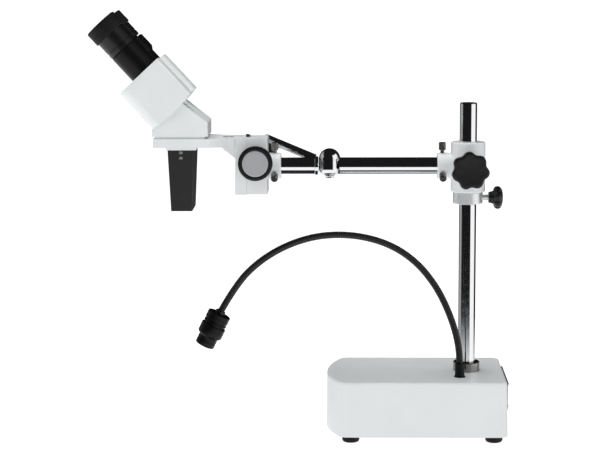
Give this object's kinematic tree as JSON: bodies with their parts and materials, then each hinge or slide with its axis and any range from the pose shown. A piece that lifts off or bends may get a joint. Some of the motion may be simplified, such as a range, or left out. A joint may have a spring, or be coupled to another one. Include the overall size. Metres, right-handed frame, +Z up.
{
  "type": "stereo microscope",
  "caption": "Stereo microscope head on a jointed boom that slides on a column, with a focus rack, turning eyepiece housings and a gooseneck lamp on a weighted base.",
  "frame": {"origin": "on the table, under the middle of the whole object's outline", "axes": "+Z up, the boom and the head reach out towards -X, +Y is across the stand"},
  "size_m": [0.5312, 0.1604, 0.5447],
  "materials": {
    "white_enamel": "stove enamel over zinc and aluminium castings, satin gloss",
    "white_enamel_alloy": "stove enamel over aluminium castings, satin gloss",
    "chrome_tube": "bright chrome plate on ground steel tube",
    "nickel": "nickel plated turned and knurled steel",
    "machined_steel": "turned steel with fine tool marks",
    "zinc_steel": "zinc plated screws and sheet",
    "black_anodised": "black anodised aluminium",
    "black_enamel": "black satin enamel on aluminium",
    "knob_phenolic": "moulded black phenolic, semi matt",
    "soft_rubber": "moulded black rubber",
    "gray_disc": "pale gray satin anodised discs",
    "gray_panel": "dark gray powder coat on steel sheet",
    "black_plastic": "moulded black plastic",
    "neck_sleeve": "black wound flexible conduit",
    "coated_glass": "coated optical glass",
    "cast_iron": "rough cast iron",
    "circuit_board": "green circuit board with parts",
    "brass": "machined brass"
  },
  "bodies": {
    "stand": {"base_housing": "white_enamel", "base_plate": "zinc_steel", "rubber_feet": "soft_rubber", "base_screws": "zinc_steel", "counterweight": "cast_iron", "column_bolt": "zinc_steel", "column_tube": "chrome_tube", "column_flange": "nickel", "rear_panel": "gray_panel", "rear_panel_screws": "zinc_steel", "switch_frame": "black_plastic", "power_jack": "nickel", "driver_board": "circuit_board", "lamp_socket": "black_anodised"},
    "rocker": {"rocker_switch": "black_plastic"},
    "dimmer": {"dimmer_knob": "knob_phenolic"},
    "lamp_neck": {"gooseneck": "neck_sleeve"},
    "lamp_head": {"lamp_body": "black_anodised", "lamp_bezel": "black_anodised", "lamp_lens": "coated_glass"},
    "collar": {"support_collar": "machined_steel"},
    "collar_clamp": {"collar_knob": "knob_phenolic", "collar_stud": "machined_steel"},
    "boom_clamp": {"clamp_block": "white_enamel_alloy"},
    "boom_knob": {"clamp_star_knob": "knob_phenolic", "clamp_stud": "machined_steel"},
    "arm_top_screw": {"arm_screw_top": "nickel"},
    "arm_side_screw": {"arm_screw_side": "nickel"},
    "arm": {"arm_tube": "chrome_tube", "elbow_fork": "chrome_tube", "elbow_pin": "chrome_tube"},
    "forearm": {"elbow_tongue": "chrome_tube", "forearm_tube": "chrome_tube", "stay_rod": "chrome_tube", "focus_block": "white_enamel_alloy"},
    "focus_top_screw": {"focus_screw_top": "nickel"},
    "focus_side_screw": {"focus_screw_side": "nickel"},
    "focus_drive": {"focus_shaft": "machined_steel", "focus_knobs": "black_plastic", "focus_knob_discs": "gray_disc"},
    "head": {"focus_carriage": "white_enamel_alloy", "focus_rack": "brass", "head_arm": "white_enamel_alloy", "head_body": "white_enamel_alloy", "objective_housing": "black_enamel", "objective_lenses": "coated_glass", "head_screws": "nickel"},
    "right_side": {"prism_housing_right": "white_enamel_alloy", "prism_cover_right": "white_enamel_alloy", "eyepiece_tube_right": "black_anodised"},
    "left_side": {"prism_housing_left": "white_enamel_alloy", "prism_cover_left": "white_enamel_alloy", "eyepiece_tube_left": "black_anodised"},
    "right_eyepiece": {"eyepiece_right": "black_plastic", "eye_lens_right": "coated_glass", "eyecup_right": "soft_rubber"},
    "diopter": {"diopter_ring": "black_anodised"},
    "left_eyepiece": {"eyepiece_left": "black_plastic", "eye_lens_left": "coated_glass", "eyecup_left": "soft_rubber"}
  },
  "joints": [
    {"name": "collar_height", "type": "slide", "parent": "stand", "child": "collar", "axis": [0, 0, 1], "range_m": [-0.04, 0.048]},
    {"name": "collar_knob_turn", "type": "hinge", "parent": "collar", "child": "collar_clamp", "pos_m": [0.24412, 0, 0.3058], "axis": [1, 0, 0], "range_deg": [0, 270]},
    {"name": "boom_swivel", "type": "hinge", "parent": "collar", "child": "boom_clamp", "pos_m": [0.21412, 0, 0.3465], "axis": [0, 0, 1], "continuous": true},
    {"name": "boom_knob_turn", "type": "hinge", "parent": "boom_clamp", "child": "boom_knob", "pos_m": [0.21412, -0.04, 0.3455], "axis": [0, -1, 0], "range_deg": [0, 270]},
    {"name": "arm_top_screw_turn", "type": "hinge", "parent": "boom_clamp", "child": "arm_top_screw", "pos_m": [0.18112, 0, 0.36], "axis": [0, 0, 1], "range_deg": [0, 270]},
    {"name": "arm_side_screw_turn", "type": "hinge", "parent": "boom_clamp", "child": "arm_side_screw", "pos_m": [0.18112, 0, 0.3465], "axis": [0, -0.8829, -0.4695], "range_deg": [0, 270]},
    {"name": "arm_roll", "type": "hinge", "parent": "boom_clamp", "child": "arm", "pos_m": [0.11412, 0, 0.3465], "axis": [1, 0, 0], "range_deg": [-30, 30]},
    {"name": "elbow_swing", "type": "hinge", "parent": "arm", "child": "forearm", "pos_m": [0.03712, 0, 0.3465], "axis": [0, 0, 1], "range_deg": [-80, 80]},
    {"name": "focus_top_screw_turn", "type": "hinge", "parent": "forearm", "child": "focus_top_screw", "pos_m": [-0.03288, 0, 0.36], "axis": [0, 0, 1], "range_deg": [0, 270]},
    {"name": "focus_side_screw_turn", "type": "hinge", "parent": "forearm", "child": "focus_side_screw", "pos_m": [-0.03288, 0, 0.3465], "axis": [0, -0.8829, -0.4695], "range_deg": [0, 270]},
    {"name": "focus_knob_turn", "type": "hinge", "parent": "forearm", "child": "focus_drive", "pos_m": [-0.05608, 0, 0.3544], "axis": [0, 1, 0], "range_deg": [-127.4, 127.4]},
    {"name": "focus_travel", "type": "slide", "parent": "forearm", "child": "head", "axis": [0, 0, 1], "range_m": [-0.02, 0.02]},
    {"name": "left_eye_width", "type": "hinge", "parent": "head", "child": "left_side", "pos_m": [-0.17134, 0.022, 0.41079], "axis": [-0.6782, 0, 0.7349], "range_deg": [-13, 13]},
    {"name": "right_eye_width", "type": "hinge", "parent": "head", "child": "right_side", "pos_m": [-0.17134, -0.022, 0.41079], "axis": [-0.6782, 0, 0.7349], "range_deg": [-13, 13]},
    {"name": "right_eyepiece_pull", "type": "slide", "parent": "right_side", "child": "right_eyepiece", "axis": [-0.6782, 0, 0.7349], "range_m": [0, 0.025]},
    {"name": "diopter_turn", "type": "hinge", "parent": "left_side", "child": "diopter", "pos_m": [-0.21193, 0.033, 0.48899], "axis": [-0.6782, 0, 0.7349], "range_deg": [-90, 90]},
    {"name": "left_eyepiece_travel", "type": "slide", "parent": "left_side", "child": "left_eyepiece", "axis": [-0.6782, 0, 0.7349], "range_m": [-0.0015, 0.0015]},
    {"name": "neck_swing", "type": "hinge", "parent": "stand", "child": "lamp_neck", "pos_m": [0.20312, -0.041, 0.09], "axis": [0, 0, -1], "range_deg": [-90, 45]},
    {"name": "lamp_turn", "type": "hinge", "parent": "lamp_neck", "child": "lamp_head", "pos_m": [-0.10188, -0.041, 0.164], "axis": [-0.4384, 0, -0.8988], "range_deg": [-150, 150]},
    {"name": "rocker_tip", "type": "hinge", "parent": "stand", "child": "rocker", "pos_m": [0.25362, -0.024, 0.0565], "axis": [0, 1, 0], "range_deg": [0, 16]},
    {"name": "dimmer_turn", "type": "hinge", "parent": "stand", "child": "dimmer", "pos_m": [0.25812, 0.004, 0.0565], "axis": [1, 0, 0], "range_deg": [0, 270]}
  ],
  "couplings": [
    {"joint": "focus_knob_turn", "follows": "focus_travel", "rad_per_m": 111.11},
    {"joint": "right_eye_width", "follows": "left_eye_width", "ratio": -1},
    {"joint": "diopter_turn", "follows": "left_eyepiece_travel", "rad_per_m": 1047}
  ]
}
